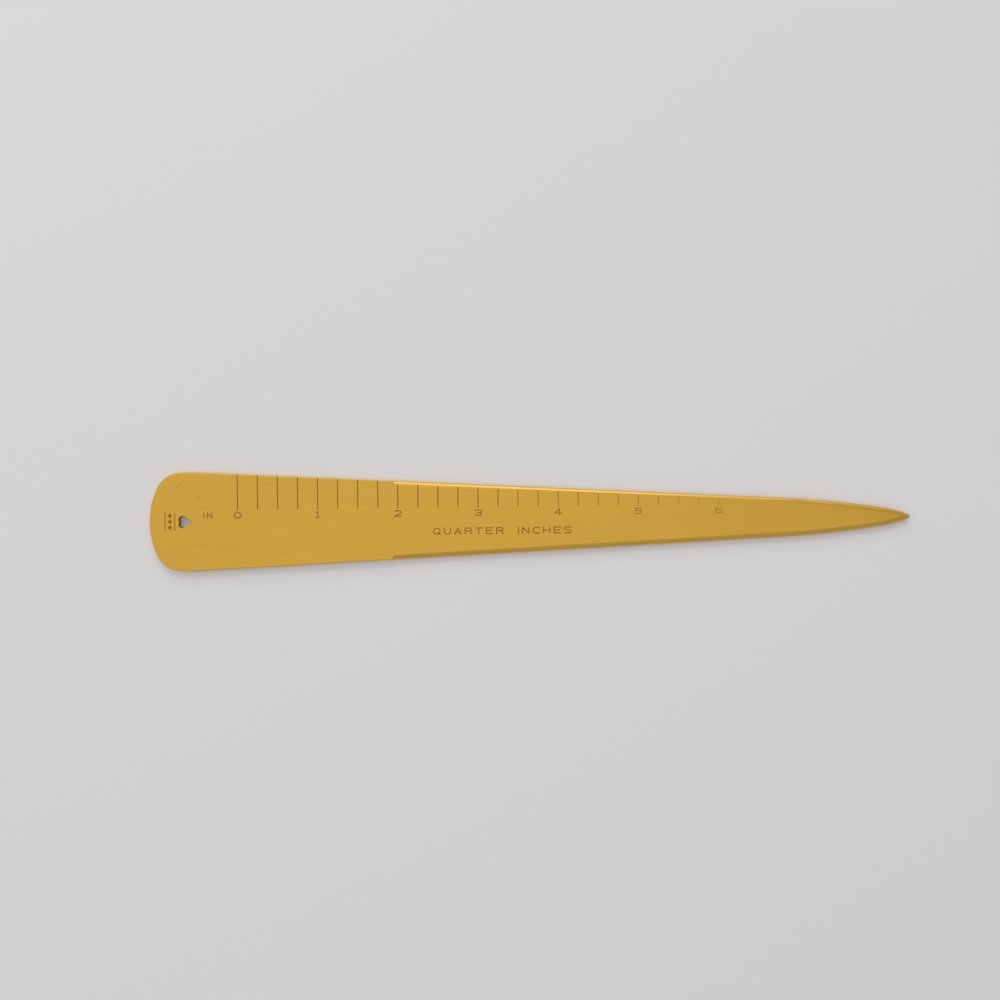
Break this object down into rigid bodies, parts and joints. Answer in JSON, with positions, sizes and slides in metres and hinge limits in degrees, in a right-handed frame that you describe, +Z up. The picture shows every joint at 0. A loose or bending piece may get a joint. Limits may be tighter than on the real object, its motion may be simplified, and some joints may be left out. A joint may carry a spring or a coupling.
{
  "type": "letter opener with inch rule",
  "caption": "Flat tapered brass letter opener with a rounded end, a heart-shaped hanging hole, ground edges to a curved point, and an etched inch rule filled with dark enamel.",
  "frame": {"origin": "on the underside, at the middle of the length and on the centre line", "axes": "+X along the blade towards the point, +Y across it towards the edge with the rule's lines, +Z up out of the etched face"},
  "size_m": [0.241, 0.0314, 0.0024],
  "materials": {
    "brass": "satin, brushed along the blade",
    "enamel": "dark brown enamel, dull, rubbed thin"
  },
  "bodies": {
    "root": {"blade": "brass", "inch_line_fill": "enamel", "quarter_line_fill": "enamel", "numeral_0_fill": "enamel", "numeral_1_fill": "enamel", "numeral_2_fill": "enamel", "numeral_3_fill": "enamel", "numeral_4_fill": "enamel", "numeral_5_fill": "enamel", "numeral_6_fill": "enamel", "unit_label_fill": "enamel", "caption_fill": "enamel", "ornament_fill": "enamel"}
  },
  "joints": []
}
